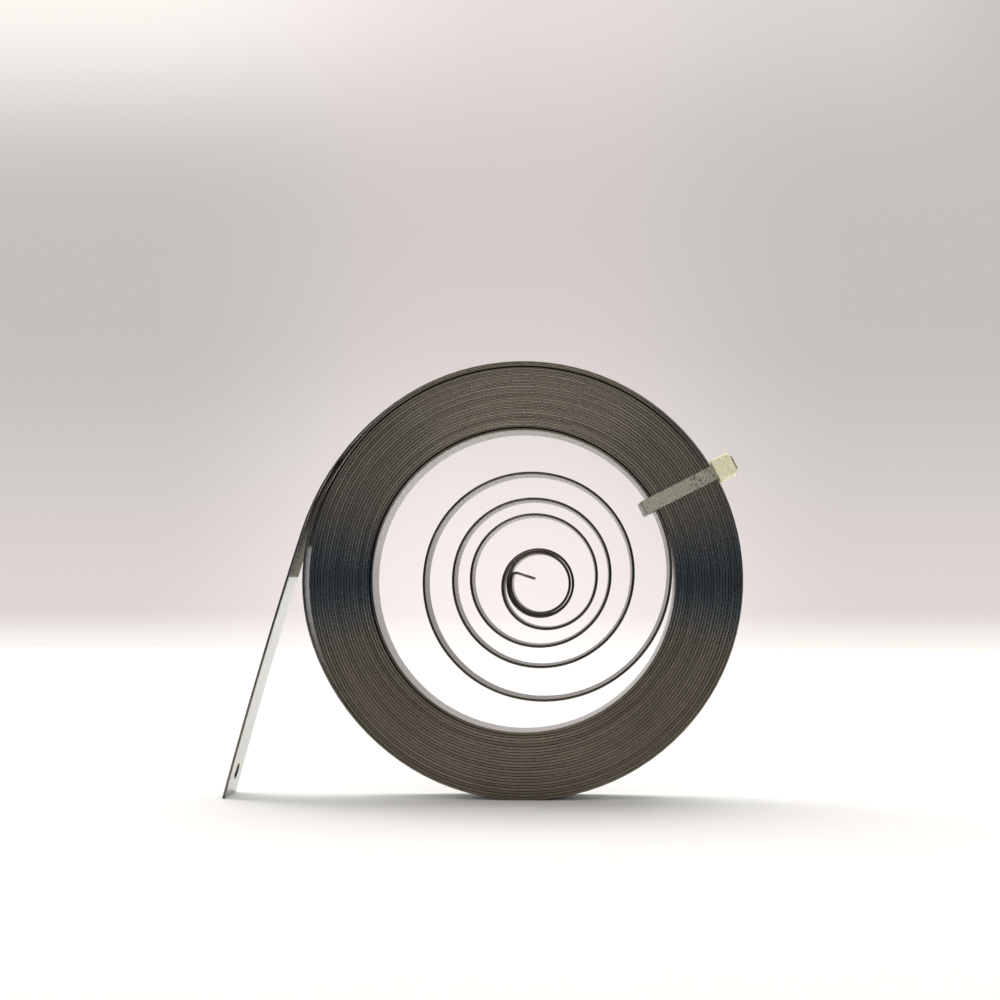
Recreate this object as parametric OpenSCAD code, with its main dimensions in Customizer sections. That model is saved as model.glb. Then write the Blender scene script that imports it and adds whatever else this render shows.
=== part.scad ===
// Power spring: one long strip of spring steel wound into a tight ring, with
// open turns inside it that end in a small arbor coil and a hook, and a straight
// tail outside it with a fixing hole. A nylon tie round the ring holds it wound.
//
// The strip is a chain of arcs, each one tangent to the next. Their centre lines
// lie in the plane of the ring, and the strip's width stands across that plane.
// The origin is on the arbor's axis, half way across the strip.

/* [Strip] */
// Width of the strip
strip_w = 10; // [5:0.5:16]
// Thickness of the strip
strip_t = 0.45; // [0.3:0.05:0.7]

/* [Arbor coil] */
// Bore of the coil that grips the arbor
arbor_d = 9.6; // [7:0.1:12]
// Air between the turns of the arbor coil
coil_gap = 0.11; // [0.08:0.01:0.3]
// Quarter turns in the arbor coil
coil_quarters = 7; // [4:1:9]
// Radius of the hook's bend, at the middle of the strip
hook_bend_r = 0.7; // [0.5:0.05:1.2]
// Straight length of the hook
hook_len = 3.2; // [1.5:0.1:3.6]

/* [Free turns] */
// Radius of the first free quarter turn
first_free_r = 10.6; // [9:0.1:13]
// Quarter turns that open out from the arbor coil
opening_quarters = 3; // [2:1:5]
// How late the opening comes: 1 is even, more is later
opening_power = 1.85; // [1:0.05:2.5]
// Quarter turns between the opening and the ring
free_quarters = 12; // [8:1:20]
// How late they grow: 1 is by an even ratio, more is later
free_power = 1.1; // [1:0.05:1.3]
// Share of the last step to the ring that the laying-on arc takes
lay_on_share = 0.35; // [0.1:0.05:0.6]

/* [Wound ring] */
// Bore of the ring
ring_bore_d = 52.2; // [44:0.2:64]
// Turns in the ring
ring_turns = 23; // [10:1:30]
// Air between the turns of the ring
ring_gap = 0.06; // [0.05:0.005:0.12]

/* [Outer end] */
// How far the outermost turn bows off the ring under the tail
bow_h = 0.7; // [0.2:0.05:1.2]
// Air between the bowed turn and the tail where the tail comes straight
tail_gap = 0.7; // [0.2:0.05:2]
// Length of the tail from there to its end
tail_len = 48.4; // [40:0.2:60]
// Radius of the tail's own slight curve
tail_curve_r = 950; // [500:25:950]
// Diameter of the fixing hole
hole_d = 3; // [1.5:0.1:5]
// From the middle of the hole to the tail's end
hole_setback = 4.4; // [3.5:0.1:8]

/* [Retaining tie] */
// Direction of the tie from the middle of the ring, in degrees above level
tie_angle = 29.5; // [24:0.5:40]
// How far the strap leans from that direction
tie_skew = -2.7; // [-4:0.1:4]
// Width of the strap
strap_w = 2.5; // [1.8:0.1:4]
// Thickness of the strap
strap_t = 1; // [0.8:0.05:1.4]
// Air between the strap and the ring
tie_clearance = 0.1; // [0.1:0.01:0.3]
// How far the strap stands off the innermost turn
tie_slack = 0.8; // [0.3:0.1:2.5]
// Wall of the head beside the strap
head_side = 0.7; // [0.5:0.05:1.5]
// Height of the head above the ring
head_h = 3.3; // [2.5:0.1:5]
// Wall of the head in front of the strap
head_front = 0.9; // [0.6:0.1:2]
// Wall of the head behind the strap
head_back = 1.7; // [1:0.1:3]
// Radius of the head's upright edges
head_round_r = 0.7; // [0.3:0.05:0.9]
// Air round the strap in the head's slot
slot_clearance = 0.15; // [0.1:0.05:0.3]
// Length of strap left above the head
stub_len = 0.4; // [0.2:0.1:2]

/* [Hidden] */

$fn = 180;

// The coil starts at the left, and every arc turns counter-clockwise from there.
first_angle = 180;
quarter = 90;

coil_pitch = strip_t + coil_gap;
ring_pitch = strip_t + ring_gap;
coil_first_r = (arbor_d + strip_t) / 2;
ring_first_r = (ring_bore_d + strip_t) / 2;

// Radii are kept to a thousandth, so that the ends of neighbouring arcs are the same.
function thousandth(x) = round(x * 1000) / 1000;
function unit(angle) = [cos(angle), sin(angle)];
function turned(p, angle) = [
    p[0] * cos(angle) - p[1] * sin(angle),
    p[0] * sin(angle) + p[1] * cos(angle)
];

// Radius of quarter turn k in the coil, the opening, the free turns and the ring
function coil_r(k) = coil_first_r + k * coil_pitch / 4;
coil_last_r = coil_r(coil_quarters - 1);
function opening_r(k) = coil_last_r
    + (first_free_r - coil_last_r) * pow((k + 1) / (opening_quarters + 1), opening_power);

// In the free turns, what a radius has above the coil's grows by ratios.
first_rise = first_free_r - coil_first_r;
ring_rise = ring_first_r - coil_first_r;
function free_share(k) = pow(k / (free_quarters + 1), free_power);
function free_r(k) = coil_first_r + first_rise * pow(ring_rise / first_rise, free_share(k));

function ring_r(k) = ring_first_r + k * ring_pitch / 4;
ring_quarters = 4 * (ring_turns - 1);

// Where arcs shorter than a quarter meet, it is at angles of a triangle with sides 3, 4
// and 5, so that their ends are exact.
bow_sweep = acos(0.8);
bow_rest = quarter - bow_sweep;

// The strip lays on to the ring part way through the quarter before the first full one.
free_last_r = free_r(free_quarters - 1);
lay_on_r = free_last_r + (ring_r(-1) - free_last_r) * lay_on_share;

// All but the outermost turn, as pairs of angle and radius
inner_arcs = [
    for (k = [0 : coil_quarters - 1]) [quarter, thousandth(coil_r(k))],
    for (k = [0 : opening_quarters - 1]) [quarter, thousandth(opening_r(k))],
    for (k = [0 : free_quarters - 1]) [quarter, thousandth(free_r(k))],
    [bow_rest, thousandth(lay_on_r)],
    [bow_sweep, thousandth(ring_r(-1))],
    for (k = [0 : ring_quarters - 1]) [quarter, thousandth(ring_r(k))]
];

// The outermost turn, as pairs of angle and radius. Three arcs make the bow: the middle
// one is tighter by just what brings the strip back to the ring. The arc after the bow
// ends near the ring's foot, so that a mesh of the ring has a corner on each side of its
// lowest point and stands steadily.
bow_mid = 2 * cos(bow_sweep);
bow_h_per_r = (1 + bow_mid) * cos(bow_sweep / 2) - cos(1.5 * bow_sweep) - bow_mid;
bow_r = bow_h / bow_h_per_r;
tail_lift_r = ring_r(ring_quarters + 4) + bow_r + tail_gap / (1 - cos(bow_sweep));
outer_arcs = [
    [bow_rest, thousandth(ring_r(ring_quarters))],
    [bow_sweep, thousandth(ring_r(ring_quarters) + bow_r)],
    [bow_sweep, thousandth(ring_r(ring_quarters + 1) - bow_mid * bow_r)],
    [bow_sweep, thousandth(ring_r(ring_quarters + 1) + bow_r)],
    [2 * (bow_rest - bow_sweep), thousandth(ring_r(ring_quarters + 1))],
    [2 * bow_sweep, thousandth(ring_r(ring_quarters + 2))],
    [quarter, thousandth(ring_r(ring_quarters + 3))],
    [bow_rest, thousandth(ring_r(ring_quarters + 4))],
    [bow_sweep, thousandth(tail_lift_r)]
];

// The chain as a list of [angle, radius, start angle, centre]
function chain(arcs, k, start, centre) = k == len(arcs) ? [] :
    let (
        sweep = arcs[k][0],
        r = arcs[k][1],
        next_r = k + 1 < len(arcs) ? arcs[k + 1][1] : r
    )
    concat(
        [[sweep, r, start, centre]],
        chain(arcs, k + 1, start + sweep, centre + (r - next_r) * unit(start + sweep))
    );

strip_chain = chain(concat(inner_arcs, outer_arcs), 0, first_angle, [0, 0]);
outer_first = len(inner_arcs);
foot_k = outer_first + 5;
last_arc = strip_chain[len(strip_chain) - 1];

// The tail's end, on the face that is towards the ring
tail_sweep = tail_len / tail_curve_r * 180 / PI;
hole_sweep = (tail_len - hole_setback) / tail_curve_r * 180 / PI;
tail_start_angle = last_arc[2] + last_arc[0];
tail_centre = last_arc[3] + (last_arc[1] - tail_curve_r) * unit(tail_start_angle);
tail_end = tail_centre + (tail_curve_r - strip_t / 2) * unit(tail_start_angle + tail_sweep);

// The spring stands on its ring and on the tail's end, so it is turned until both
// are at one level. The foot is the arc of the ring that then lies lowest.
foot_arc = strip_chain[foot_k];
foot_r = foot_arc[1] + strip_t / 2;
tail_reach = tail_end - foot_arc[3];
lean = atan2(tail_reach[1], tail_reach[0]) + 180 - asin(foot_r / norm(tail_reach));

// Under the tie, the rim is an arc of the outermost turn, and the bore is an arc of
// the turn that starts where the strip lays on to the ring.
tie_turn_angle = tie_angle + lean;
function past_start(arc, angle) = ((angle - arc[2]) % 360 + 360) % 360;
function arc_at(angle, first, last) =
    [for (k = [first : last]) if (past_start(strip_chain[k], angle) < strip_chain[k][0]) strip_chain[k]][0];
rim_arc = arc_at(tie_turn_angle, foot_k, foot_k + 2);
rim_centre = turned(rim_arc[3], -lean);
rim_r = rim_arc[1] + strip_t / 2;
lay_on_k = coil_quarters + opening_quarters + free_quarters;
bore_arc = arc_at(tie_turn_angle, lay_on_k, lay_on_k + 4);
bore_offset = turned(bore_arc[3] - rim_arc[3], -tie_turn_angle);
bore_x = bore_offset[0] + sqrt(pow(bore_arc[1] - strip_t / 2, 2) - pow(bore_offset[1], 2));

// The tie's own frame: x runs out from the middle of the ring, y runs back.
front_y = -(strip_w / 2 + tie_clearance);
back_y = strip_w / 2 + tie_clearance;
loose_x = bore_x - tie_slack;
loose_bend_r = tie_slack + tie_clearance;
seat_x = rim_r + tie_clearance;
tight_bend_r = 2 * tie_clearance;
skew_pivot_x = (loose_x + seat_x) / 2;
head_w = strap_w + 2 * slot_clearance + 2 * head_side;
head_front_y = front_y - strap_t - slot_clearance - head_front;
head_back_y = front_y + slot_clearance + head_back;
head_len = head_back_y - head_front_y;

module strip_arc(r, sweep) {
    rotate_extrude(angle = sweep)
        translate([r - strip_t / 2, -strip_w / 2])
            square([strip_t, strip_w]);
}

// Part of a quarter turn, cut off square at its end
module short_arc(r, sweep) {
    difference() {
        strip_arc(r, quarter);
        rotate(sweep)
            translate([0, 0, -strip_w])
                cube([2 * r, 2 * r, 2 * strip_w]);
    }
}

// An arc of a quarter turn or less
module path_arc(r, sweep) {
    if (sweep < quarter)
        short_arc(r, sweep);
    else
        strip_arc(r, sweep);
}

module hook() {
    translate([hook_bend_r - coil_first_r, 0, 0]) {
        rotate(quarter)
            strip_arc(hook_bend_r, quarter);
        translate([0, hook_bend_r - strip_t / 2, -strip_w / 2])
            cube([hook_len, strip_t, strip_w]);
    }
}

module tail() {
    translate([-tail_curve_r, 0, 0])
        difference() {
            strip_arc(tail_curve_r, tail_sweep);
            rotate(hole_sweep)
                translate([tail_curve_r, 0, 0])
                    rotate([0, 90, 0])
                        cylinder(d = hole_d, h = 4 * strip_t, center = true);
        }
}

// Each arc of the outermost turn is drawn at the end of the one before it.
module outermost_turn(k) {
    sweep = outer_arcs[k][0];
    r = outer_arcs[k][1];
    path_arc(r, sweep);
    rotate(sweep)
        if (k + 1 < len(outer_arcs))
            translate([r - outer_arcs[k + 1][1], 0, 0])
                outermost_turn(k + 1);
        else
            translate([r, 0, 0])
                tail();
}

module spring_strip() {
    color("dimgray")
        rotate([90, 0, 0])
            rotate(-lean) {
                hook();
                for (k = [0 : outer_first - 1])
                    translate(strip_chain[k][3])
                        rotate(strip_chain[k][2])
                            path_arc(strip_chain[k][1], strip_chain[k][0]);
                translate(strip_chain[outer_first][3])
                    rotate(strip_chain[outer_first][2])
                        outermost_turn(0);
            }
}

// A length of strap between two corners of its side view
module strap_leg(from, to) {
    translate([from[0], from[1], -strap_w / 2])
        cube([to[0] - from[0], to[1] - from[1], strap_w]);
}

// A quarter bend of the strap round an inside radius, from a start angle
module strap_bend(centre, inside_r, start) {
    translate(centre)
        rotate(start)
            rotate_extrude(angle = quarter)
                translate([inside_r, -strap_w / 2])
                    square([strap_t, strap_w]);
}

module tie_head() {
    difference() {
        translate([seat_x, head_front_y, -head_w / 2])
            rotate([90, 0, 90])
                linear_extrude(head_h)
                    rounded_plate(head_len, head_w, head_round_r);
        translate([seat_x - head_h, front_y - strap_t - slot_clearance, -strap_w / 2 - slot_clearance])
            cube([3 * head_h, strap_t + 2 * slot_clearance, strap_w + 2 * slot_clearance]);
    }
}

// A rectangle with round corners, from one corner at the origin
module rounded_plate(length, width, r) {
    translate([r, 0])
        square([length - 2 * r, width]);
    translate([0, r])
        square([length, width - 2 * r]);
    for (x = [r, length - r], y = [r, width - r])
        translate([x, y])
            circle(r);
}

module strap() {
    bend_x = loose_x + loose_bend_r;
    strap_leg([bend_x, front_y - strap_t], [seat_x + head_h + stub_len, front_y]);
    strap_bend([bend_x, front_y + loose_bend_r], loose_bend_r, 180);
    strap_leg([loose_x - strap_t, front_y + loose_bend_r], [loose_x, back_y - loose_bend_r]);
    strap_bend([bend_x, back_y - loose_bend_r], loose_bend_r, 90);
    strap_leg([bend_x, back_y], [seat_x - tight_bend_r, back_y + strap_t]);
    strap_bend([seat_x - tight_bend_r, back_y - tight_bend_r], tight_bend_r, 0);
    strap_leg([seat_x, head_back_y], [seat_x + strap_t, back_y - tight_bend_r]);
}

module cable_tie() {
    color("lightyellow")
        translate([rim_centre[0], 0, rim_centre[1]])
            rotate([0, -tie_angle, 0])
                translate([skew_pivot_x, 0, 0])
                    rotate([0, -tie_skew, 0])
                        translate([-skew_pivot_x, 0, 0]) {
                            strap();
                            tie_head();
                        }
}

spring_strip();
cable_tie();
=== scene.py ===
"""Looks for a power spring: a wound strip of spring steel held by a nylon tie."""
import math

import bmesh
import bpy
from bpy.props import FloatProperty, FloatVectorProperty, IntProperty, PointerProperty
from mathutils import Matrix, Vector


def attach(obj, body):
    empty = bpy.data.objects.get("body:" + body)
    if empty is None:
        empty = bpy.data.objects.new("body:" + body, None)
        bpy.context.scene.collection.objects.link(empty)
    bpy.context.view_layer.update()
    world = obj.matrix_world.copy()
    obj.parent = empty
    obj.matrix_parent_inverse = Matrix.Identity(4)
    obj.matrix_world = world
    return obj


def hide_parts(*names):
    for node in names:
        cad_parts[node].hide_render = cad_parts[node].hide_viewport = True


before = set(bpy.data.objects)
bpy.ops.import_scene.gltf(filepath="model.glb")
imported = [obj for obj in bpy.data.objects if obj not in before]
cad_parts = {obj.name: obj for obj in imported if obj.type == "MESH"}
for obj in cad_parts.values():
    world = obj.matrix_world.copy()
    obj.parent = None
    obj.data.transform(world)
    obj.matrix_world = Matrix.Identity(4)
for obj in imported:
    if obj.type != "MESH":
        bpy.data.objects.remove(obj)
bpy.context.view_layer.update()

bl_info = {
    "name": "Power Spring",
    "version": (1, 0, 0),
    "blender": (4, 5, 0),
    "location": "View3D > Sidebar > Spring",
    "description": "Builds a wound power spring with its retaining tie, and a studio round it",
    "category": "Object",
}

MM = 0.001
QUARTER = math.pi / 2

# Arcs shorter than a quarter meet at angles of a triangle with sides 3, 4 and 5.
BOW_SWEEP = math.acos(0.8)
BOW_REST = QUARTER - BOW_SWEEP

# The path is drawn flat with X and Z, turning from X towards Z.
TURN_AXIS = (0, -1, 0)

# Mesh corners closer than this are one corner.
WELD = 0.005 * MM

# A face of the strip that turns further than this to the front or back belongs to its edge.
EDGE_TILT = 0.55

# Places of the finishes in the pieces' lists of materials.
OUTSIDE, INSIDE, EDGE = range(3)
STRAP, HEAD = range(2)


def length(name, description, millimetres):
    """A size in metres, given in millimetres."""
    return FloatProperty(
        name=name,
        description=description,
        default=millimetres * MM,
        precision=5,
        unit="LENGTH",
        subtype="DISTANCE",
    )


def turn(name, description, degrees):
    """An angle in radians, given in degrees."""
    return FloatProperty(name=name, description=description, default=math.radians(degrees), subtype="ANGLE")


def number(name, description, value):
    """A plain number."""
    return FloatProperty(name=name, description=description, default=value)


def count(name, description, value):
    """A whole number of one or more."""
    return IntProperty(name=name, description=description, default=value, min=1)


def colour(name, description, value):
    """A colour of three linear parts."""
    return FloatVectorProperty(
        name=name,
        description=description,
        default=value,
        size=3,
        subtype="COLOR",
        min=0,
        max=1,
    )


class StripSizes(bpy.types.PropertyGroup):
    """Sizes of the steel strip. All but the edge rounds, the wander and the mesh steps are the part's own."""

    width: length("Width", "Width of the strip", 10)
    thickness: length("Thickness", "Thickness of the strip", 0.45)
    edge_round: length("Edge round", "Radius of the strip's rounded edges", 0.11)
    edge_steps: count("Edge steps", "Mesh steps round each corner of the strip's section", 4)
    arbor_bore: length("Arbor bore", "Bore of the coil that grips the arbor", 9.6)
    coil_gap: length("Coil gap", "Air between the turns of the arbor coil", 0.11)
    coil_quarters: count("Coil quarters", "Quarter turns in the arbor coil", 7)
    hook_bend: length("Hook bend", "Radius of the hook's bend at mid thickness", 0.7)
    hook_length: length("Hook length", "Straight length of the hook", 3.2)
    first_free: length("First free radius", "Radius of the first free quarter turn", 10.6)
    opening_quarters: count("Opening quarters", "Quarter turns that open out from the coil", 3)
    opening_power: number("Opening power", "How late the opening comes", 1.85)
    free_quarters: count("Free quarters", "Quarter turns between the opening and the ring", 12)
    free_power: number("Free power", "How late the free turns grow", 1.1)
    lay_on_share: number("Laying on", "Share of the last step to the ring that the laying-on arc takes", 0.35)
    ring_bore: length("Ring bore", "Bore of the wound ring", 52.2)
    ring_turns: count("Ring turns", "Turns in the wound ring", 23)
    ring_gap: length("Ring gap", "Air between the turns of the ring", 0.06)
    bow: length("Bow", "How far the outermost turn bows off the ring", 0.7)
    tail_gap: length("Tail gap", "Air between the bowed turn and the tail", 0.7)
    tail_length: length("Tail length", "Length of the tail", 48.4)
    tail_curve: length("Tail curve", "Radius of the tail's slight curve", 950)
    tail_steps: count("Tail steps", "Mesh steps in the tail above the hole", 12)
    tail_end_steps: count("Tail end steps", "Mesh steps in the tail below the hole", 2)
    hole: length("Hole", "Diameter of the fixing hole", 3)
    hole_setback: length("Hole setback", "From the middle of the hole to the tail's end", 4.4)
    hole_pad: number("Hole pad", "Length of the mesh step that holds the hole, in diameters of the hole", 1.4)
    hole_steps: count("Hole steps", "Mesh steps in a quarter of the hole's rim", 8)
    wander: length("Wander", "How far the edges of the turns stand out of line", 0.06)
    steps: count("Steps", "Mesh steps in a quarter turn", 24)
    least_steps: count("Least steps", "Fewest mesh steps in an arc", 4)


class TieSizes(bpy.types.PropertyGroup):
    """Sizes of the nylon tie. The main ones are the part's own."""

    angle: turn("Angle", "Direction of the tie from the middle of the ring", 29.5)
    skew: turn("Skew", "How far the strap leans from that direction", -2.7)
    strap_width: length("Strap width", "Width of the strap", 2.5)
    strap_thickness: length("Strap thickness", "Thickness of the strap", 1)
    strap_round: length("Strap round", "Radius of the strap's edges", 0.16)
    clearance: length("Clearance", "Air between the strap and the ring", 0.1)
    slack: length("Slack", "How far the strap stands off the innermost turn", 0.8)
    loose_steps: count("Loose steps", "Mesh steps in each loose bend inside the bore", 10)
    tight_steps: count("Tight steps", "Mesh steps in the tight bend at the back", 8)
    head_side: length("Head side", "Wall of the head beside the strap", 0.7)
    head_height: length("Head height", "Height of the head above the ring", 3.3)
    head_front: length("Head front", "Wall of the head in front of the strap", 0.9)
    head_back: length("Head back", "Wall of the head behind the strap", 1.7)
    head_round: length("Head round", "Radius of the head's upright edges", 0.7)
    head_edge: length("Head edge", "Radius round both ends of the head", 0.35)
    slot_clearance: length("Slot clearance", "Air round the strap in the head's slot", 0.15)
    stub: length("Stub", "Length of strap left above the head", 0.4)
    root: length("Root", "How far the strap reaches into the back of the head", 0.2)
    mark_length: length("Mark length", "Length of strap with marks below the head", 6)


class Finishes(bpy.types.PropertyGroup):
    """Colours of the steel and the nylon, with painted shade and reflection among the steel's, and how deep
    light goes into the nylon.
    """

    face: colour("Strip face", "Bright rolled face of the strip", (0.58, 0.59, 0.57))
    face_flat: colour("Face at a flat angle", "Tint of the bright face seen along it", (0.9, 0.9, 0.9))
    # Painted shade and reflection in tan, for the inner turns, the tail and the bow, and how it looks at a
    # flat angle.
    painted_tan_shade: colour("Temper", "Tan faces of the inner turns and beside the bow", (0.29, 0.285, 0.25))
    painted_tan_shade_flat: colour("Temper at a flat angle", "Tint of the tan faces seen along them", (0.3, 0.29, 0.27))
    # The edge's own dark steel, with a painted brown reflection in it.
    edge: colour("Strip edge", "Rounded edge of the strip", (0.235, 0.20, 0.16))
    # Painted bluish reflection on the front edge at the sides of the ring.
    edge_blue_reflection: colour("Blued edge", "Edge of the strip at the sides of the ring", (0.205, 0.215, 0.21))
    strap: colour("Strap", "Natural nylon of the strap", (0.385, 0.38, 0.31))
    strap_mark: colour("Strap marks", "Darker marks in the nylon near the head", (0.20, 0.18, 0.165))
    strap_glow: length("Strap glow", "How deep light goes into the strap", 0.1)
    head: colour("Head", "Thicker nylon of the head", (0.98, 0.92, 0.66))
    head_mark: colour("Head marks", "Darker clouds in the head", (0.90, 0.82, 0.56))
    head_glow: length("Head glow", "How deep light goes into the head", 0.8)


class StageSettings(bpy.types.PropertyGroup):
    """The studio round the part."""

    lens: FloatProperty(name="Lens", description="Focal length of the camera in millimetres", default=60.1)
    camera_x: length("Camera X", "Place of the camera to the right of the arbor's axis", 5.41)
    camera_y: length("Camera Y", "Place of the camera behind the middle of the strip", -295)
    camera_z: length("Camera Z", "Place of the camera above the arbor's axis", -0.28)
    camera_pitch: turn("Pitch", "How far the camera looks up", 2.95)
    camera_yaw: turn("Yaw", "How far the camera looks left", 2.43)
    sheet_front: length("Sheet front", "Front edge of the sheet on the table", -320)
    sheet_bend: length("Sheet bend", "Where the sheet begins to curve up", 600)
    sheet_bend_radius: length("Sheet bend radius", "Radius of the sheet's curve", 120)
    sheet_bend_steps: count("Sheet bend steps", "Mesh steps in the sheet's curve", 24)
    sheet_half_width: length("Sheet half width", "Half the width of the sheet", 800)
    sheet_height: length("Sheet height", "Straight height of the sheet above its curve", 1500)
    floor: colour("Floor", "White table", (0.93, 0.93, 0.93))
    backdrop: colour("Backdrop", "Tint of the pale backdrop", (1.0, 0.95, 0.905))
    backdrop_glow: colour("Backdrop glow", "Rosy tint behind the part", (1.0, 0.917, 0.907))
    overhead: colour("Overhead", "Light of the room from above", (0.60, 0.58, 0.55))
    sides: colour("Sides", "Dim light of the room from the sides", (0.16, 0.18, 0.205))
    front: colour("Front", "Dim light of the room from behind the camera", (0.135, 0.155, 0.18))


class Value:
    """A socket that can be used in arithmetic: each sign adds a Math node."""

    def __init__(self, tree, socket):
        self.tree = tree
        self.socket = socket

    def math(self, operation, *others):
        """Adds a Math node that takes this value first."""
        node = self.tree.nodes.new("ShaderNodeMath")
        node.operation = operation
        for socket, value in zip(node.inputs, (self, *others)):
            feed(self.tree, socket, value)
        return Value(self.tree, node.outputs[0])

    def __add__(self, other):
        return self.math("ADD", other)

    __radd__ = __add__

    def __mul__(self, other):
        return self.math("MULTIPLY", other)

    __rmul__ = __mul__

    def __sub__(self, other):
        return self.math("SUBTRACT", other)

    def __rsub__(self, other):
        return (self * -1) + other

    def __truediv__(self, other):
        return self.math("DIVIDE", other)

    def __pow__(self, other):
        return self.math("POWER", other)

    def clamped(self):
        """The value held between 0 and 1."""
        return self.math("MAXIMUM", 0).math("MINIMUM", 1)


def feed(tree, socket, value):
    """Links a socket to a value, or sets it to a number, colour or vector."""
    if isinstance(value, Value):
        tree.links.new(value.socket, socket)
    elif hasattr(socket.default_value, "__len__") and len(socket.default_value) == 4 and len(value) == 3:
        socket.default_value = (*value, 1)
    else:
        socket.default_value = value


class Shader:
    """Builds one node tree."""

    def __init__(self, tree):
        self.tree = tree
        tree.nodes.clear()

    def node(self, kind, settings=None, inputs=None):
        """Adds a node of any type, sets it up and feeds its sockets."""
        node = self.tree.nodes.new(kind)
        for name, value in (settings or {}).items():
            setattr(node, name, value)
        for key, value in (inputs or {}).items():
            feed(self.tree, node.inputs[key], value)
        return node

    def value(self, kind, settings=None, inputs=None, output=0):
        """Adds a node and gives one of its outputs as a value."""
        return Value(self.tree, self.node(kind, settings, inputs).outputs[output])

    def split(self, vector):
        """The three parts of a vector as values."""
        parts = self.node("ShaderNodeSeparateXYZ", inputs={"Vector": vector})
        return [Value(self.tree, socket) for socket in parts.outputs]

    def place(self):
        """Object coordinates as three values."""
        return self.split(self.value("ShaderNodeTexCoord", output="Object"))

    def from_centre(self, x, z, centre):
        """How far a place lies from a centre in the plane of the ring: to the right, upwards and straight."""
        across = x - centre.x
        up = z - centre.z
        return across, up, (across * across + up * up) ** 0.5

    def point(self, x, y, z):
        """A vector of three values."""
        return self.value("ShaderNodeCombineXYZ", inputs={"X": x, "Y": y, "Z": z})

    def noise(self, point, scale=1, detail=2):
        """Soft noise from 0 to 1 at a point."""
        return self.value("ShaderNodeTexNoise", inputs={"Vector": point, "Scale": scale, "Detail": detail})

    def ramp(self, value, low, high):
        """A value spread from 0 at low to 1 at high, smooth at both ends."""
        settings = {"interpolation_type": "SMOOTHSTEP"}
        inputs = {"Value": value, "From Min": low, "From Max": high}
        return self.value("ShaderNodeMapRange", settings, inputs)

    def band(self, value, start, full, fade, end):
        """A value spread to 1 between full and fade, and to 0 before start and after end."""
        return self.ramp(value, start, full) * self.ramp(value, end, fade)

    def blend(self, share, first, second, blend_type="MIX"):
        """Two colours mixed by a share."""
        settings = {"data_type": "RGBA", "blend_type": blend_type}
        return self.value("ShaderNodeMix", settings, {0: share, 6: first, 7: second}, 2)

    def toned(self, tint, tone):
        """A colour made lighter or darker by a tone."""
        return self.blend(1, tint, self.point(tone, tone, tone), "MULTIPLY")

    def bump(self, height, strength, distance):
        """A normal that follows a height."""
        inputs = {"Height": height, "Strength": strength, "Distance": distance}
        return self.value("ShaderNodeBump", inputs=inputs)

    def mix(self, share, first, second):
        """Two shaders mixed by a share."""
        mixed = self.node("ShaderNodeMixShader", inputs={"Fac": share})
        self.tree.links.new(first.outputs[0], mixed.inputs[1])
        self.tree.links.new(second.outputs[0], mixed.inputs[2])
        return mixed

    def finish(self, surface, kind="ShaderNodeOutputMaterial"):
        """Links the last shader to the output."""
        output = self.node(kind)
        self.tree.links.new(surface.outputs[0], output.inputs["Surface"])


def new_material(name):
    """An empty material and the builder of its nodes."""
    material = bpy.data.materials.new(name)
    material.use_nodes = True
    return material, Shader(material.node_tree)


def ring_direction(angle):
    """Unit vector in the plane of the ring."""
    return Vector((math.cos(angle), 0, math.sin(angle)))


class Arc:
    """One arc of the strip's middle line."""

    def __init__(self, sweep, radius, start, centre):
        self.sweep = sweep
        self.radius = radius
        self.start = start
        self.centre = centre

    @property
    def end(self):
        return self.start + self.sweep


def chain(arcs, start, centre):
    """Places pairs of sweep and radius one after another, each tangent to the next."""
    placed = []
    for index, (sweep, radius) in enumerate(arcs):
        placed.append(Arc(sweep, radius, start, centre))
        start += sweep
        if index + 1 < len(arcs):
            centre = centre + (radius - arcs[index + 1][1]) * ring_direction(start)
    return placed


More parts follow.
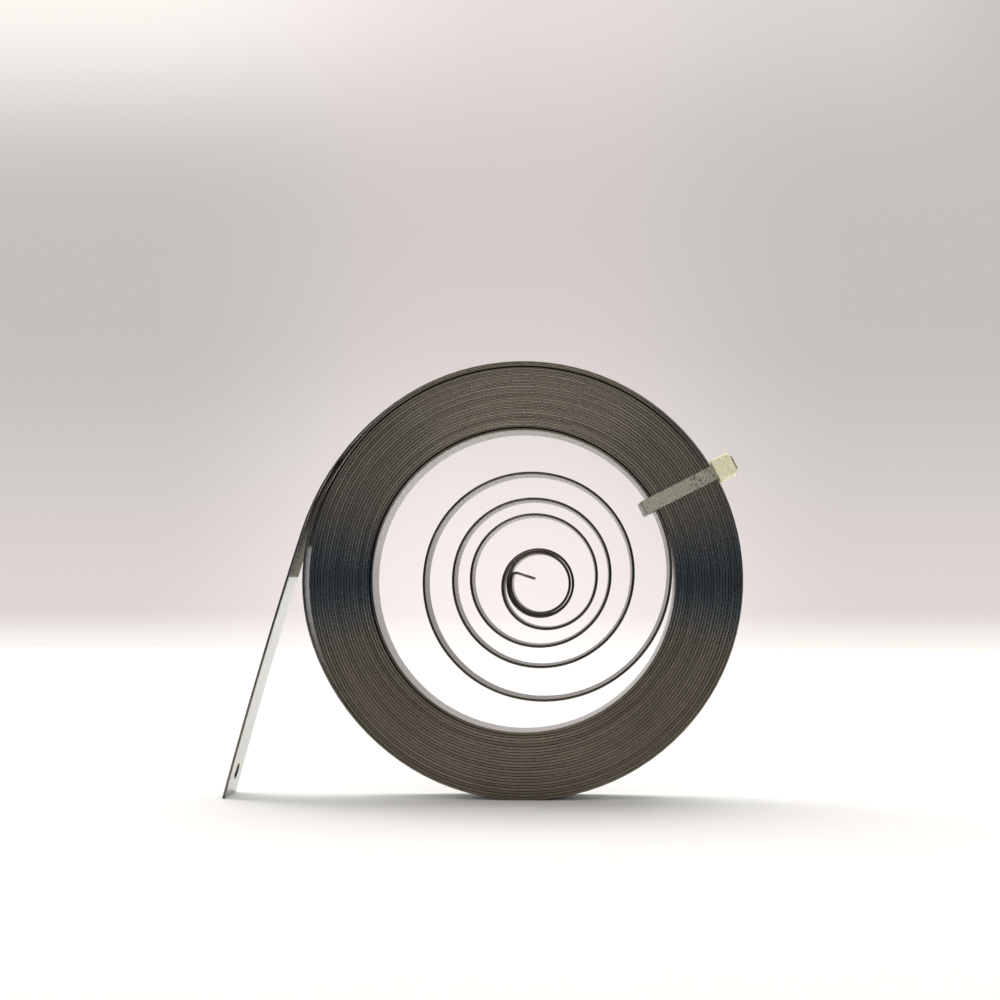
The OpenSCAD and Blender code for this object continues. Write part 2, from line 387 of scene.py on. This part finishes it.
class StripPath:
    """The strip's middle line, from the hook to the tail, and how far it leans."""

    def __init__(self, size):
        coil_pitch = size.thickness + size.coil_gap
        ring_pitch = size.thickness + size.ring_gap
        coil_first = (size.arbor_bore + size.thickness) / 2
        ring_first = (size.ring_bore + size.thickness) / 2

        coil = [coil_first + k * coil_pitch / 4 for k in range(size.coil_quarters)]
        opening_rise = size.first_free - coil[-1]
        opening = [
            coil[-1] + opening_rise * ((k + 1) / (size.opening_quarters + 1)) ** size.opening_power
            for k in range(size.opening_quarters)
        ]
        first_rise = size.first_free - coil_first
        growth = (ring_first - coil_first) / first_rise
        free = [
            coil_first + first_rise * growth ** ((k / (size.free_quarters + 1)) ** size.free_power)
            for k in range(size.free_quarters)
        ]

        def ring(k):
            """Radius of a quarter turn of the ring."""
            return ring_first + k * ring_pitch / 4

        lay_on = free[-1] + (ring(-1) - free[-1]) * size.lay_on_share
        full = 4 * (size.ring_turns - 1)
        inner = [(QUARTER, radius) for radius in (size.hook_bend, *coil, *opening, *free)]
        self.lay_on_index = len(inner)
        inner += [(BOW_REST, lay_on), (BOW_SWEEP, ring(-1))]
        self.ring_first_index = len(inner)
        inner += [(QUARTER, ring(k)) for k in range(full)]

        # Three arcs lift the outermost turn off the ring and lay it on again.
        mid = 2 * math.cos(BOW_SWEEP)
        height_share = (1 + mid) * math.cos(BOW_SWEEP / 2) - math.cos(1.5 * BOW_SWEEP) - mid
        bow = size.bow / height_share
        tail_lift = ring(full + 4) + bow + size.tail_gap / (1 - math.cos(BOW_SWEEP))
        outer = [
            (BOW_REST, ring(full)),
            (BOW_SWEEP, ring(full) + bow),
            (BOW_SWEEP, ring(full + 1) - mid * bow),
            (BOW_SWEEP, ring(full + 1) + bow),
            (2 * (BOW_REST - BOW_SWEEP), ring(full + 1)),
            (2 * BOW_SWEEP, ring(full + 2)),
            (QUARTER, ring(full + 3)),
            (BOW_REST, ring(full + 4)),
            (BOW_SWEEP, tail_lift),
            (size.tail_length / size.tail_curve, size.tail_curve),
        ]
        hook_centre = Vector((size.hook_bend - coil_first, 0, 0))
        self.arcs = chain(inner + outer, QUARTER, hook_centre)
        self.outer_index = len(inner)
        self.foot_index = self.outer_index + 5

        # The ring's foot and the end of the tail stand on one level.
        foot = self.arcs[self.foot_index]
        tail = self.arcs[-1]
        foot_radius = foot.radius + size.thickness / 2
        tail_end = tail.centre + (tail.radius - size.thickness / 2) * ring_direction(tail.end)
        reach = tail_end - foot.centre
        self.lean = math.atan2(reach.z, reach.x) + math.pi - math.asin(foot_radius / reach.length)
        self.upright = Matrix.Rotation(self.lean, 3, "Y")
        self.floor_z = (self.upright @ foot.centre).z - foot_radius

        wound = self.arcs[self.ring_first_index:self.outer_index]
        self.spiral_centre = self.upright @ (sum((arc.centre for arc in wound), Vector()) / len(wound))

    def arc_under(self, angle, first, last):
        """The arc from first to last that an upright direction crosses."""
        for arc in self.arcs[first:last + 1]:
            if (angle + self.lean - arc.start) % math.tau < arc.sweep:
                return arc
        raise ValueError("no arc of the ring lies in that direction")


class TieFit:
    """Where the tie sits: X runs outwards from the middle of the ring along the tie, and Y to the back."""

    def __init__(self, size, strip, path):
        half = strip.thickness / 2
        self.rim = path.arc_under(size.angle, path.foot_index, path.foot_index + 2)
        bore = path.arc_under(size.angle, path.lay_on_index, path.lay_on_index + 4)
        to_tie = Matrix.Rotation(size.angle + path.lean, 3, "Y")
        bore_offset = to_tie @ (bore.centre - self.rim.centre)
        bore_x = bore_offset.x + math.sqrt((bore.radius - half) ** 2 - bore_offset.z ** 2)

        self.front = -(strip.width / 2 + size.clearance)
        self.back = -self.front
        self.strap_y = self.front - size.strap_thickness / 2
        self.loose = bore_x - size.slack
        self.loose_bend = size.slack + size.clearance
        self.seat = self.rim.radius + half + size.clearance
        self.tight_bend = 2 * size.clearance
        self.head_top = self.seat + size.head_height
        self.head_front = self.front - size.strap_thickness - size.slot_clearance - size.head_front
        self.head_back = self.front + size.slot_clearance + size.head_back

        # The tie leans about the middle of the strap in front of the ring.
        pivot = Matrix.Translation(((self.loose + self.seat) / 2, 0, 0))
        skewed = pivot @ Matrix.Rotation(-size.skew, 4, "Y") @ pivot.inverted()
        on_ring = Matrix.Translation(path.upright @ self.rim.centre) @ Matrix.Rotation(-size.angle, 4, "Y")
        self.stand = on_ring @ skewed


def loop_edges(geometry):
    """The edges among some mesh elements."""
    return [element for element in geometry if isinstance(element, bmesh.types.BMEdge)]


def rounded_section(bm, thickness, width, radius, segments):
    """A closed loop of edges: thickness along X, width along Y, with round corners."""
    corners = bmesh.ops.create_grid(bm, x_segments=1, y_segments=1, size=0.5)["verts"]
    bmesh.ops.scale(bm, vec=(thickness, width, 1), verts=corners)
    bmesh.ops.bevel(
        bm,
        geom=corners,
        offset=radius,
        offset_type="OFFSET",
        segments=segments,
        profile=0.5,
        affect="VERTICES",
        material=-1,
    )
    bmesh.ops.delete(bm, geom=bm.faces[:], context="FACES_ONLY")


def spin_loop(bm, edges, centre, axis, sweep, steps, rise=0.0):
    """Spins a loop of edges about an axis, and gives the loop at the far end."""
    verts = list({vert for edge in edges for vert in edge.verts})
    spun = bmesh.ops.spin(
        bm,
        geom=[*verts, *edges],
        cent=centre,
        axis=axis,
        dvec=(0, rise / steps, 0),
        angle=sweep,
        steps=steps,
        use_merge=False,
        use_duplicate=False,
    )
    return loop_edges(spun["geom_last"])


def push_loop(bm, edges, offset):
    """Extrudes a loop of edges straight, and gives the loop at the far end."""
    pushed = bmesh.ops.extrude_edge_only(bm, edges=edges)["geom"]
    verts = [element for element in pushed if isinstance(element, bmesh.types.BMVert)]
    bmesh.ops.translate(bm, vec=offset, verts=verts)
    moved = set(verts)
    return [edge for edge in loop_edges(pushed) if edge.verts[0] in moved and edge.verts[1] in moved]


def close_ends(bm):
    """Fills the open ends of a mesh."""
    bmesh.ops.holes_fill(bm, edges=[edge for edge in bm.edges if edge.is_boundary], sides=0)


def smooth_faces(bm):
    """Turns the faces of a mesh the same way and shades them smoothly."""
    bmesh.ops.recalc_face_normals(bm, faces=bm.faces[:])
    for face in bm.faces:
        face.smooth = True


def strip_section(size, arc, offset=0.0):
    """A small mesh that holds the strip's section where an arc starts."""
    bm = bmesh.new()
    rounded_section(bm, size.thickness, size.width, size.edge_round, size.edge_steps)
    place = arc.centre + arc.radius * ring_direction(arc.start) + Vector((0, offset, 0))
    stand = Matrix.Translation(place) @ Matrix.Rotation(-arc.start, 4, "Y")
    bmesh.ops.transform(bm, matrix=stand, verts=bm.verts[:])
    return bm


def join(bm, part):
    """Moves a small mesh into a larger one."""
    scrap = bpy.data.meshes.new("scrap")
    part.to_mesh(scrap)
    part.free()
    bm.from_mesh(scrap)
    bpy.data.meshes.remove(scrap)


def even_rim(verts, centre, axis, radius):
    """Spreads the corners of a hole's rim evenly round a circle."""
    across = Vector((0, 1, 0))
    along = axis.cross(across)

    def angle_of(vert):
        return math.atan2((vert.co - centre).dot(along), (vert.co - centre).dot(across))

    ordered = sorted(verts, key=angle_of)
    step = math.tau / len(ordered)
    start = sum(angle_of(vert) - place * step for place, vert in enumerate(ordered)) / len(ordered)
    for place, vert in enumerate(ordered):
        angle = start + place * step
        depth = (vert.co - centre).dot(axis)
        vert.co = centre + depth * axis + radius * (math.cos(angle) * across + math.sin(angle) * along)


def punch_hole(bm, faces, centre, axis, radius, steps):
    """Opens a round hole with sharp rims through two facing quads."""
    middles = bmesh.ops.poke(bm, faces=faces)["verts"]
    cut = bmesh.ops.bevel(
        bm,
        geom=middles,
        offset=radius,
        offset_type="OFFSET",
        segments=steps,
        profile=0.5,
        affect="VERTICES",
        material=-1,
    )
    bmesh.ops.delete(bm, geom=cut["faces"], context="FACES")

    def off_axis(vert):
        offset = vert.co - centre
        return (offset - offset.dot(axis) * axis).length

    # The other boundaries of the mesh are its open ends, which lie further off.
    near = 1.3 * radius
    rims = [edge for edge in bm.edges if edge.is_boundary and max(map(off_axis, edge.verts)) < near]
    for edge in rims:
        edge.smooth = False
    corners = {vert for edge in rims for vert in edge.verts}
    outer = {vert for vert in corners if (vert.co - centre).dot(axis) > 0}
    for rim in (outer, corners - outer):
        even_rim(rim, centre, axis, radius)
    bmesh.ops.bridge_loops(bm, edges=rims)


def wander_at(index, path, reach):
    """How far the strip's edge stands out of line at the start of an arc."""
    if not path.ring_first_index < index < path.outer_index:
        return 0.0

    # Two waves that keep no step with each other, so that no pattern shows.
    first_wave = math.sin(1.31 * index)
    second_wave = math.sin(2.23 * index + 1)
    return reach * (first_wave + second_wave) / 2


def new_piece(name, bm, materials, node):
    """Turns a bmesh into an object that rides on the part and stands for a node."""
    mesh = bpy.data.meshes.new(name)
    bm.to_mesh(mesh)
    bm.free()
    piece = bpy.data.objects.new(name, mesh)
    bpy.context.scene.collection.objects.link(piece)
    for material in materials:
        mesh.materials.append(material)
    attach(piece, "root")
    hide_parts(node)
    piece.modifiers.new("Even shading", "WEIGHTED_NORMAL")


def strip_face_material(name, colours, size, path, inward):
    """Bright rolled steel with fine lines along the strip. The turns inside the ring get painted shade in
    tan, and beside the bow the inward face gets a painted tan reflection on the tail and painted dark shade
    and reflection on the bow.
    """
    material, shader = new_material(name)
    x, y, z = shader.place()
    radius = shader.from_centre(x, z, path.spiral_centre)[-1]
    lines = shader.noise(shader.point(x * 60, y * 9000, z * 60), detail=3)
    patches = shader.noise(shader.point(x * 120, y * 300, z * 120), detail=3)
    tone = 0.86 + lines * 0.2 + patches * 0.08

    # The turns inside the ring get painted shade in a tan colour.
    bore = size.ring_bore / 2
    painted_tan_shade = shader.ramp(radius, bore + 0.3 * MM, bore - 0.1 * MM) * 0.62

    # To the left of the ring the tail gets a painted tan reflection, and the turn that bows towards it gets
    # painted dark shade and reflection.
    if inward:
        beside = shader.ramp(x, -34 * MM, -36 * MM)
        on_tail = shader.ramp(radius, 39.1 * MM, 39.3 * MM)
        in_bow = shader.ramp(radius, 37.2 * MM, 37.4 * MM) * (1 - on_tail)
        bow_painted_shade = shader.ramp(z, 6.2 * MM, 7.2 * MM) * in_bow * beside
        tail_painted_reflection = shader.ramp(z, 1.1 * MM, 1.5 * MM) * on_tail * beside
        painted_tan_shade = (painted_tan_shade + tail_painted_reflection + bow_painted_shade).clamped()
        tone = tone * (1 - bow_painted_shade * 0.9)
    bump = shader.bump(lines, strength=0.15, distance=0.01 * MM)

    # The steel with the painted tan shade stays dull at a flat angle too.
    looks = []
    for tint, flat_tint in ((colours.face, colours.face_flat), (colours.painted_tan_shade, colours.painted_tan_shade_flat)):
        inputs = {
            "Base Color": shader.toned(tint, tone),
            "Metallic": 1.0,
            "Roughness": 0.16 + lines * 0.12 + patches * 0.08,
            "Specular Tint": flat_tint,
            "Normal": bump,
        }
        looks.append(shader.node("ShaderNodeBsdfPrincipled", inputs=inputs))
    shader.finish(shader.mix(painted_tan_shade, *looks))
    return material


def strip_edge_material(colours, size, path):
    """Rounded steel edge, dark and brown with a painted reflection in it, with a tone of its own on each
    turn, and painted shade, highlights and reflections round the ring.
    """
    material, shader = new_material("rounded_strip_edge")
    x, y, z = shader.place()
    across, up, radius = shader.from_centre(x, z, path.spiral_centre)

    # The turns of the ring are counted outwards along the spiral: a whole number is the
    # gap inside a turn. The eighth of a turn comes from the quarter arcs.
    first = path.arcs[path.ring_first_index]
    pitch = size.thickness + size.ring_gap
    past_start = (up.math("ARCTAN2", across) - (first.start - path.lean)) / math.tau
    turned = past_start - past_start.math("FLOOR")
    turns_out = (radius - first.radius) / pitch - turned + 0.5 + 0.125
    own_turn = turns_out.math("FLOOR")

    # Two gaps are open, and the edges beside them get painted shade: outside the innermost turn, and under
    # the last two.
    nearest_gap = turns_out.math("ROUND")
    gap_at = nearest_gap + turned
    last = size.ring_turns - 1
    open_gaps = shader.band(gap_at, 0.8, 0.9, 1.4, 1.6)
    open_gaps = open_gaps + shader.band(gap_at, last - 0.12, last - 0.06, last + 0.2, last + 0.26)
    dark = shader.ramp((turns_out - nearest_gap).math("ABSOLUTE"), 0.42, 0.2) * open_gaps

    # Each turn has a tone of its own that drifts along it, and fine lines and grooves.
    own = shader.value("ShaderNodeTexWhiteNoise", {"noise_dimensions": "1D"}, {"W": own_turn})
    drift = shader.noise(shader.point(own_turn * 7.3, x * 25, z * 25), detail=1)
    lines = shader.noise(shader.point(radius * 9000, x * 40, z * 40), detail=2)
    grooves = shader.noise(shader.point(radius * 40000, x * 40, z * 40), detail=1)

    # Painted light: the ring is painted brightest at the top and duller below the middle. On its shoulders a
    # painted highlight runs along the middle of each turn, and at its foot painted highlights run along the
    # sides of each turn. The edges of the free turns are darker, at half the tone.
    bore = size.ring_bore / 2
    free = shader.ramp(radius, bore - 0.2 * MM, bore - 0.7 * MM)
    high = up / radius
    around = 0.95 + high * 0.1 + shader.ramp(high, 0.75, 1.0) * 0.65
    around = around - shader.ramp(high, -0.2, -0.6) * 0.2 + shader.ramp(high, -0.75, -1.0) * 0.2
    shoulder_painted_highlight = shader.band(high, 0.15, 0.5, 0.8, 0.95) * (1 - free)
    low = shader.ramp(high, -0.5, -0.9) * (1 - free)
    crown = shader.ramp((turns_out - own_turn - 0.5).math("ABSOLUTE"), 0.5, 0.05)
    tone = (0.67 + own * 0.3 + drift * 0.3 + lines * 0.1) * around * (1 - free * 0.5)
    tone = tone * (1 - dark * 0.95) * (1 + shoulder_painted_highlight * (crown * 2.3 - 1)) * (1 + low * (0.5 - crown * 0.75))

    # The front edge gets a painted bluish reflection at the sides of the ring.
    painted_blue_reflection = shader.ramp(high.math("ABSOLUTE"), 0.4, 0.1) * shader.ramp(y, MM, -MM) * (1 - free)
    tint = shader.blend(painted_blue_reflection, colours.edge, colours.edge_blue_reflection)
    inputs = {
        "Base Color": shader.toned(tint, tone),
        "Metallic": 1.0,
        "Roughness": 0.07 + lines * 0.08,
        "Normal": shader.bump(grooves, strength=1.0, distance=0.01 * MM),
    }
    shader.finish(shader.node("ShaderNodeBsdfPrincipled", inputs=inputs))
    return material


def nylon_material(name, tint, mark, glow, along, first_mark, last_mark, front):
    """Natural nylon: satin, slightly cloudy, lit through a little, and marked in front near the head."""
    material, shader = new_material(name)
    x, y, z = shader.place()
    place = shader.point(x, y, z)
    cloud = shader.noise(place, 700, 3)
    grain = shader.noise(place, 3000, 2)
    clean = shader.toned(tint, 0.9 + cloud * 0.16 + grain * 0.03)
    reach = x * along.x + z * along.z
    marked = shader.band(reach, first_mark, first_mark + 1.5 * MM, last_mark - 0.3 * MM, last_mark)
    marked = marked * shader.ramp(y, front + 0.1 * MM, front)
    spots = shader.ramp(shader.noise(place, 2000, 2), 0.52, 0.62) * marked
    height = cloud * 0.8 + grain * 0.2 - spots * 0.5
    inputs = {
        "Base Color": shader.blend(spots, clean, mark),
        "Roughness": 0.36 + cloud * 0.2,
        "Normal": shader.bump(height, strength=0.12, distance=0.06 * MM),
        "IOR": 1.53,
        "Subsurface Weight": 0.2,
        "Subsurface Radius": (1.0, 0.9, 0.6),
        "Subsurface Scale": glow,
    }
    shader.finish(shader.node("ShaderNodeBsdfPrincipled", inputs=inputs))
    return material


class SPRING_OT_strip(bpy.types.Operator):
    """Build the steel strip: hook, coil, free turns, ring, bow and tail"""

    bl_idname = "spring.strip"
    bl_label = "Build Strip"

    def execute(self, context):
        size = context.scene.spring_strip
        path = StripPath(size)
        bm = bmesh.new()

        # Each arc is spun in a mesh of its own, because a spin slows down as its mesh grows.
        for index, arc in enumerate(path.arcs[:-1]):
            drift = wander_at(index, path, size.wander)
            rise = wander_at(index + 1, path, size.wander) - drift
            part = strip_section(size, arc, drift)
            steps = max(size.least_steps, round(size.steps * arc.sweep / QUARTER))
            spin_loop(part, part.edges[:], arc.centre, TURN_AXIS, arc.sweep, steps, rise)
            join(bm, part)

        hook = strip_section(size, path.arcs[0])
        push_loop(hook, hook.edges[:], (size.hook_length, 0, 0))
        join(bm, hook)
        join(bm, self.tail(size, path.arcs[-1]))
        bmesh.ops.remove_doubles(bm, verts=bm.verts[:], dist=WELD)

        close_ends(bm)
        bmesh.ops.rotate(bm, verts=bm.verts[:], cent=(0, 0, 0), matrix=path.upright)
        smooth_faces(bm)
        for face in bm.faces:
            inward = face.normal.dot(face.calc_center_median() - path.spiral_centre) < 0
            face.material_index = INSIDE if inward else OUTSIDE
            if abs(face.normal.y) > EDGE_TILT:
                face.material_index = EDGE

        colours = context.scene.spring_finishes
        materials = [
            strip_face_material("rolled_strip_outside", colours, size, path, False),
            strip_face_material("rolled_strip_inside", colours, size, path, True),
            strip_edge_material(colours, size, path),
        ]
        new_piece("steel_strip", bm, materials, "spring_strip")
        return {"FINISHED"}

    def tail(self, size, arc):
        """The tail, whose hole lies in a length of its own, one mesh step long."""
        bm = strip_section(size, arc)
        pad = size.hole_pad * size.hole / 2
        above = (size.tail_length - size.hole_setback - pad) / arc.radius
        below = (size.hole_setback - pad) / arc.radius
        loop = spin_loop(bm, bm.edges[:], arc.centre, TURN_AXIS, above, size.tail_steps)
        before = set(bm.faces)
        loop = spin_loop(bm, loop, arc.centre, TURN_AXIS, 2 * pad / arc.radius, 1)
        around = sorted(set(bm.faces) - before, key=lambda face: face.calc_area())
        spin_loop(bm, loop, arc.centre, TURN_AXIS, below, size.tail_end_steps)
        axis = ring_direction(arc.end - size.hole_setback / arc.radius)
        centre = arc.centre + arc.radius * axis
        punch_hole(bm, around[-2:], centre, axis, size.hole / 2, size.hole_steps)
        return bm


class SPRING_OT_tie(bpy.types.Operator):
    """Build the nylon tie: strap and head"""

    bl_idname = "spring.tie"
    bl_label = "Build Tie"

    def execute(self, context):
        size = context.scene.spring_tie
        path = StripPath(context.scene.spring_strip)
        fit = TieFit(size, context.scene.spring_strip, path)
        bm = self.strap(size, fit)
        join(bm, self.head(size, fit))
        bmesh.ops.transform(bm, matrix=fit.stand, verts=bm.verts[:])
        smooth_faces(bm)

        colours = context.scene.spring_finishes
        along = ring_direction(size.angle + size.skew)
        head_at = along.dot(path.upright @ fit.rim.centre) + fit.seat
        materials = [
            nylon_material(
                "nylon_strap",
                colours.strap,
                colours.strap_mark,
                colours.strap_glow,
                along,
                head_at - size.mark_length,
                head_at,
                fit.front,
            ),
            nylon_material(
                "nylon_head",
                colours.head,
                colours.head_mark,
                colours.head_glow,
                along,
                head_at,
                head_at + size.head_height,
                fit.back,
            ),
        ]
        new_piece("nylon_tie", bm, materials, "cable_tie")
        return {"FINISHED"}

    def bend(self, bm, loop, x, y, steps):
        """A quarter bend of the strap about an upright line in the tie's frame."""
        return spin_loop(bm, loop, (x, y, 0), (0, 0, 1), -QUARTER, steps)

    def strap(self, size, fit):
        """The strap, from its free end above the head round the ring to the back of the head."""
        bm = bmesh.new()
        rounded_section(bm, size.strap_width, size.strap_thickness, size.strap_round, segments=3)
        stub_end = fit.head_top + size.stub
        stand = Matrix.Translation((stub_end, fit.strap_y, 0)) @ Matrix.Rotation(QUARTER, 4, "Y")
        bmesh.ops.transform(bm, matrix=stand, verts=bm.verts[:])
        loose_x = fit.loose + fit.loose_bend
        tight_x = fit.seat - fit.tight_bend
        tight_y = fit.back - fit.tight_bend
        loop = push_loop(bm, bm.edges[:], (loose_x - stub_end, 0, 0))
        loop = self.bend(bm, loop, loose_x, fit.front + fit.loose_bend, size.loose_steps)
        loop = push_loop(bm, loop, (0, fit.back - fit.front - 2 * fit.loose_bend, 0))
        loop = self.bend(bm, loop, loose_x, fit.back - fit.loose_bend, size.loose_steps)
        loop = push_loop(bm, loop, (tight_x - loose_x, 0, 0))
        loop = self.bend(bm, loop, tight_x, tight_y, size.tight_steps)
        push_loop(bm, loop, (0, fit.head_back - size.root - tight_y, 0))
        close_ends(bm)
        for face in bm.faces:
            face.material_index = STRAP
        return bm

    def wall(self, size, fit, middle_y, depth, width, rounding):
        """An open tube as high as the head: its outside, or its slot."""
        bm = bmesh.new()
        rounded_section(bm, width, depth, rounding, segments=6)
        stand = Matrix.Translation((fit.seat, middle_y, 0)) @ Matrix.Rotation(QUARTER, 4, "Y")
        bmesh.ops.transform(bm, matrix=stand, verts=bm.verts[:])
        push_loop(bm, bm.edges[:], (size.head_height, 0, 0))
        return bm

    def head(self, size, fit):
        """The head, a block with round edges and a slot through it for the strap."""
        slot_width = size.strap_width + 2 * size.slot_clearance
        slot_depth = size.strap_thickness + 2 * size.slot_clearance
        width = slot_width + 2 * size.head_side
        depth = fit.head_back - fit.head_front
        middle_y = (fit.head_front + fit.head_back) / 2
        bm = self.wall(size, fit, middle_y, depth, width, size.head_round)
        outer_count = len(bm.faces)
        join(bm, self.wall(size, fit, fit.strap_y, slot_depth, slot_width, size.slot_clearance))

        bm.faces.ensure_lookup_table()
        outer = {edge for face in bm.faces[:outer_count] for edge in face.edges if edge.is_boundary}
        rims = [edge for edge in bm.edges if edge.is_boundary]
        for end in (fit.seat, fit.head_top):
            ends = [edge for edge in rims if abs(edge.verts[0].co.x - end) < WELD]
            bmesh.ops.bridge_loops(bm, edges=ends)
        bmesh.ops.bevel(
            bm,
            geom=list(outer),
            offset=size.head_edge,
            offset_type="OFFSET",
            segments=4,
            profile=0.5,
            affect="EDGES",
            material=-1,
        )
        for face in bm.faces:
            face.material_index = HEAD
        return bm


def add_softbox(name, place, width, height, power, tint):
    """A rectangular lamp that faces the spring and isn't seen in reflections."""
    data = bpy.data.lights.new(name, "AREA")
    data.shape = "RECTANGLE"
    data.size = width
    data.size_y = height
    data.energy = power
    data.color = tint
    lamp = bpy.data.objects.new(name, data)
    lamp.location = place
    lamp.rotation_euler = (Vector() - Vector(place)).to_track_quat("-Z", "Y").to_euler()
    lamp.visible_glossy = False
    bpy.context.scene.collection.objects.link(lamp)


def sweep_material(stage, floor_z):
    """White table that runs up into a pale backdrop, with painted light that makes it brighter behind the
    part and at the top left.
    """
    material, shader = new_material("white_sweep")
    x, _, z = shader.place()
    height = z - floor_z

    # Painted light on the backdrop: how bright it is shown, by places in metres.
    middle = shader.ramp((x + 0.038).math("ABSOLUTE"), 0.22, 0.02)
    behind = 0.1 + shader.ramp(height, 0.26, 0.07) * 0.12
    foot = shader.ramp(height, 0.024, 0.0)
    low = shader.ramp(height, 0.20, 0.0) * 0.19 + foot * 0.26
    top = shader.ramp(height, 0.23, 0.41) ** 2
    left = 0.32 + shader.ramp(x, -0.02, -0.26) * 0.68
    corner = top * left * shader.ramp(x, 0.315, 0.175) * 0.43
    level = 0.555 + middle * behind * (1 - foot * 0.7) + corner + low
    rosy = (middle + shader.ramp(height, 0.13, 0.05)).clamped() * shader.ramp(height, 0.0, 0.03)
    tint = shader.blend(rosy, stage.backdrop, stage.backdrop_glow)

    # The camera and the steel see the bright backdrop. For other light it is plain white, as the table is.
    plain = shader.node("ShaderNodeBsdfDiffuse", inputs={"Color": stage.floor})
    shown = shader.node("ShaderNodeEmission", inputs={"Color": shader.toned(tint, level), "Strength": 1.0})
    light = shader.node("ShaderNodeLightPath")
    kinds = ("Is Camera Ray", "Is Glossy Ray", "Is Transmission Ray")
    direct, mirrored, passing = [Value(shader.tree, light.outputs[kind]) for kind in kinds]
    seen = (direct + mirrored + passing).clamped() * shader.ramp(height, 0.0, 0.004)
    shader.finish(shader.mix(seen, plain, shown))
    return material


def room_world(stage):
    """Light of a plain room: bright overhead, softer at the sides and dim behind the camera."""
    world = bpy.data.worlds.new("studio")
    world.use_nodes = True
    shader = Shader(world.node_tree)
    _, back, up = shader.split(shader.value("ShaderNodeTexCoord", output="Generated"))
    level = shader.blend(shader.ramp(back, 0.3, -0.5), stage.sides, stage.front)
    light = shader.blend(shader.ramp(up, 0.08, 0.45), level, stage.overhead)
    shader.finish(shader.node("ShaderNodeBackground", inputs={"Color": light}), "ShaderNodeOutputWorld")
    return world


class SPRING_OT_stage(bpy.types.Operator):
    """Set up the table, the backdrop, the lights and the camera"""

    bl_idname = "spring.stage"
    bl_label = "Build Stage"

    def execute(self, context):
        scene = context.scene
        stage = scene.spring_stage
        path = StripPath(scene.spring_strip)
        sheet = self.sheet(stage, path.floor_z)
        scene.collection.objects.link(sheet)

        scene.world = room_world(stage)
        add_softbox("top_box", (0, 0.3, 0.9), width=1.2, height=0.6, power=7.5, tint=(1, 0.98, 0.95))
        add_softbox("back_left_box", (-0.9, 0.5, 0.5), width=0.6, height=0.8, power=2.0, tint=(1, 0.97, 0.94))

        scene.camera = self.camera(stage)
        scene.collection.objects.link(scene.camera)
        scene.view_settings.view_transform = "Standard"
        return {"FINISHED"}

    def sheet(self, stage, floor_z):
        """One sheet: flat on the table, curved up behind it, and straight above."""
        bm = bmesh.new()
        left = bm.verts.new((-stage.sheet_half_width, stage.sheet_front, floor_z))
        right = bm.verts.new((stage.sheet_half_width, stage.sheet_front, floor_z))
        loop = push_loop(bm, [bm.edges.new((left, right))], (0, stage.sheet_bend - stage.sheet_front, 0))
        centre = (0, stage.sheet_bend, floor_z + stage.sheet_bend_radius)
        loop = spin_loop(bm, loop, centre, (1, 0, 0), QUARTER, stage.sheet_bend_steps)
        push_loop(bm, loop, (0, 0, stage.sheet_height))
        smooth_faces(bm)
        mesh = bpy.data.meshes.new("white_sweep")
        bm.to_mesh(mesh)
        bm.free()
        mesh.materials.append(sweep_material(stage, floor_z))
        return bpy.data.objects.new("white_sweep", mesh)

    def camera(self, stage):
        """The camera, placed as the photograph shows."""
        data = bpy.data.cameras.new("photo_camera")
        data.lens = stage.lens
        data.sensor_width = 36
        data.clip_start = 0.01
        camera = bpy.data.objects.new("photo_camera", data)
        camera.location = (stage.camera_x, stage.camera_y, stage.camera_z)
        camera.rotation_euler = (QUARTER + stage.camera_pitch, 0, stage.camera_yaw)
        return camera


class SPRING_PT_build(bpy.types.Panel):
    """Panel with the pieces of the spring in the order they are built"""

    bl_idname = "SPRING_PT_build"
    bl_label = "Power Spring"
    bl_space_type = "VIEW_3D"
    bl_region_type = "UI"
    bl_category = "Spring"

    def draw(self, context):
        for operator in OPERATORS:
            self.layout.operator(operator.bl_idname)
        for group in GROUPS:
            settings = getattr(context.scene, group)
            for name in settings.__annotations__:
                self.layout.prop(settings, name)


OPERATORS = (SPRING_OT_stage, SPRING_OT_strip, SPRING_OT_tie)
GROUPS = {
    "spring_strip": StripSizes,
    "spring_tie": TieSizes,
    "spring_finishes": Finishes,
    "spring_stage": StageSettings,
}


def register():
    """Adds the sizes, the operators and the panel to Blender."""
    for kind in (*GROUPS.values(), *OPERATORS, SPRING_PT_build):
        bpy.utils.register_class(kind)
    for name, kind in GROUPS.items():
        setattr(bpy.types.Scene, name, PointerProperty(type=kind))


def unregister():
    """Takes them out again."""
    for name in GROUPS:
        delattr(bpy.types.Scene, name)
    for kind in reversed((*GROUPS.values(), *OPERATORS, SPRING_PT_build)):
        bpy.utils.unregister_class(kind)


def main():
    register()
    bpy.ops.spring.stage()
    bpy.ops.spring.strip()
    bpy.ops.spring.tie()


if __name__ == "__main__":
    main()
